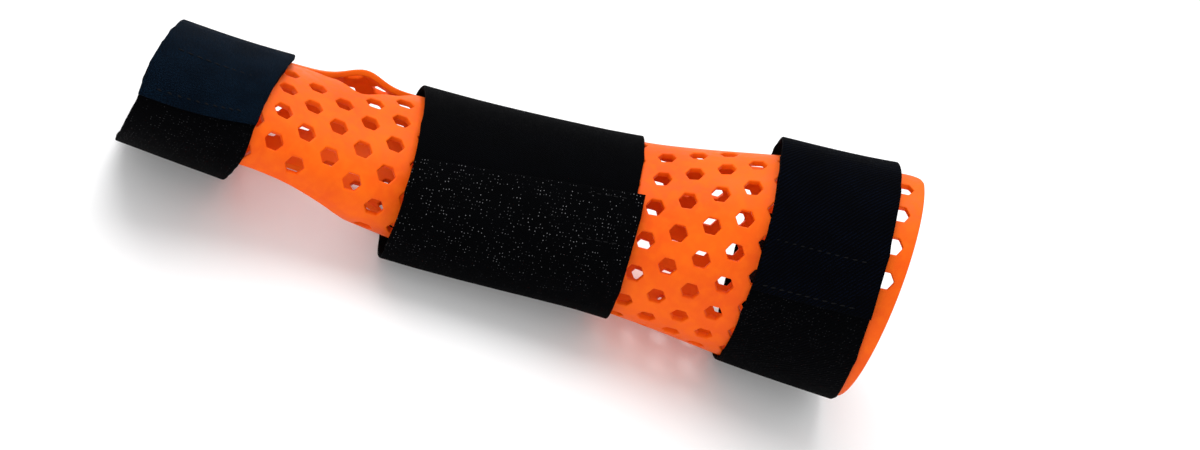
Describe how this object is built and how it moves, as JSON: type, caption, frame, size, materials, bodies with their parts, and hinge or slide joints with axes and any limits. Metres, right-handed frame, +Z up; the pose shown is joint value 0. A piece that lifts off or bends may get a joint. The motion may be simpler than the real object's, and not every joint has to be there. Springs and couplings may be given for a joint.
{
  "type": "wrist and forearm splint",
  "caption": "Perforated moulded wrist and forearm splint for a right arm, open along the back and closed by wide elastic straps with hook-and-loop flaps.",
  "frame": {"origin": "bottom centre of the bounding box, with the splint lying on its palm side", "axes": "+X towards the elbow, -Y towards the thumb, +Z up out of the slot along the back of the arm"},
  "size_m": [0.3112, 0.1302, 0.1117],
  "materials": {
    "orange_sheet": "satin moulded sheet",
    "elastic": "brushed elastic loop strap",
    "hook_tape": "hook tape",
    "thread": "sewing thread"
  },
  "bodies": {
    "root": {"splint_shell": "orange_sheet", "hand_strap_band": "elastic", "hand_strap_thumb_side_hook_patch": "hook_tape", "hand_strap_far_side_hook_patch": "hook_tape", "forearm_strap_band": "elastic", "forearm_strap_thumb_side_hook_patch": "hook_tape", "forearm_strap_far_side_hook_patch": "hook_tape", "wrist_strap_band": "elastic", "wrist_strap_thumb_side_hook_patch": "hook_tape", "wrist_strap_far_side_hook_patch": "hook_tape"},
    "hand_strap_bridge_body": {"hand_strap_bridge": "elastic"},
    "hand_strap_flap_body": {"hand_strap_flap": "elastic", "hand_strap_hook_tab": "hook_tape", "hand_strap_stitching": "thread"},
    "forearm_strap_bridge_body": {"forearm_strap_bridge": "elastic"},
    "forearm_strap_flap_body": {"forearm_strap_flap": "elastic", "forearm_strap_hook_tab": "hook_tape", "forearm_strap_stitching": "thread"},
    "wrist_strap_flap_body": {"wrist_strap_flap": "elastic", "wrist_strap_hook_tab": "hook_tape", "wrist_strap_stitching": "thread"}
  },
  "joints": [
    {"name": "hand_strap_bridge_fold", "type": "hinge", "parent": "root", "child": "hand_strap_bridge_body", "pos_m": [-0.1281, 0.0227, 0.0358], "axis": [-0.9025, -0.4002, 0.1591], "range_deg": [0, 90]},
    {"name": "hand_strap_flap_peel", "type": "hinge", "parent": "hand_strap_bridge_body", "child": "hand_strap_flap_body", "pos_m": [-0.124, -0.0068, 0.0568], "axis": [-0.8831, -0.4361, 0.173], "range_deg": [0, 90]},
    {"name": "forearm_strap_bridge_fold", "type": "hinge", "parent": "root", "child": "forearm_strap_bridge_body", "pos_m": [0.1185, 0.0632, 0.0559], "axis": [-0.895, -0.053, -0.443], "range_deg": [0, 90]},
    {"name": "forearm_strap_flap_peel", "type": "hinge", "parent": "forearm_strap_bridge_body", "child": "forearm_strap_flap_body", "pos_m": [0.1095, 0.0261, 0.1036], "axis": [-0.9359, 0.103, -0.337], "range_deg": [0, 90]},
    {"name": "wrist_strap_flap_peel", "type": "hinge", "parent": "root", "child": "wrist_strap_flap_body", "pos_m": [0.003, -0.0117, 0.0068], "axis": [0.9977, 0.051, 0.045], "range_deg": [0, 80]}
  ]
}
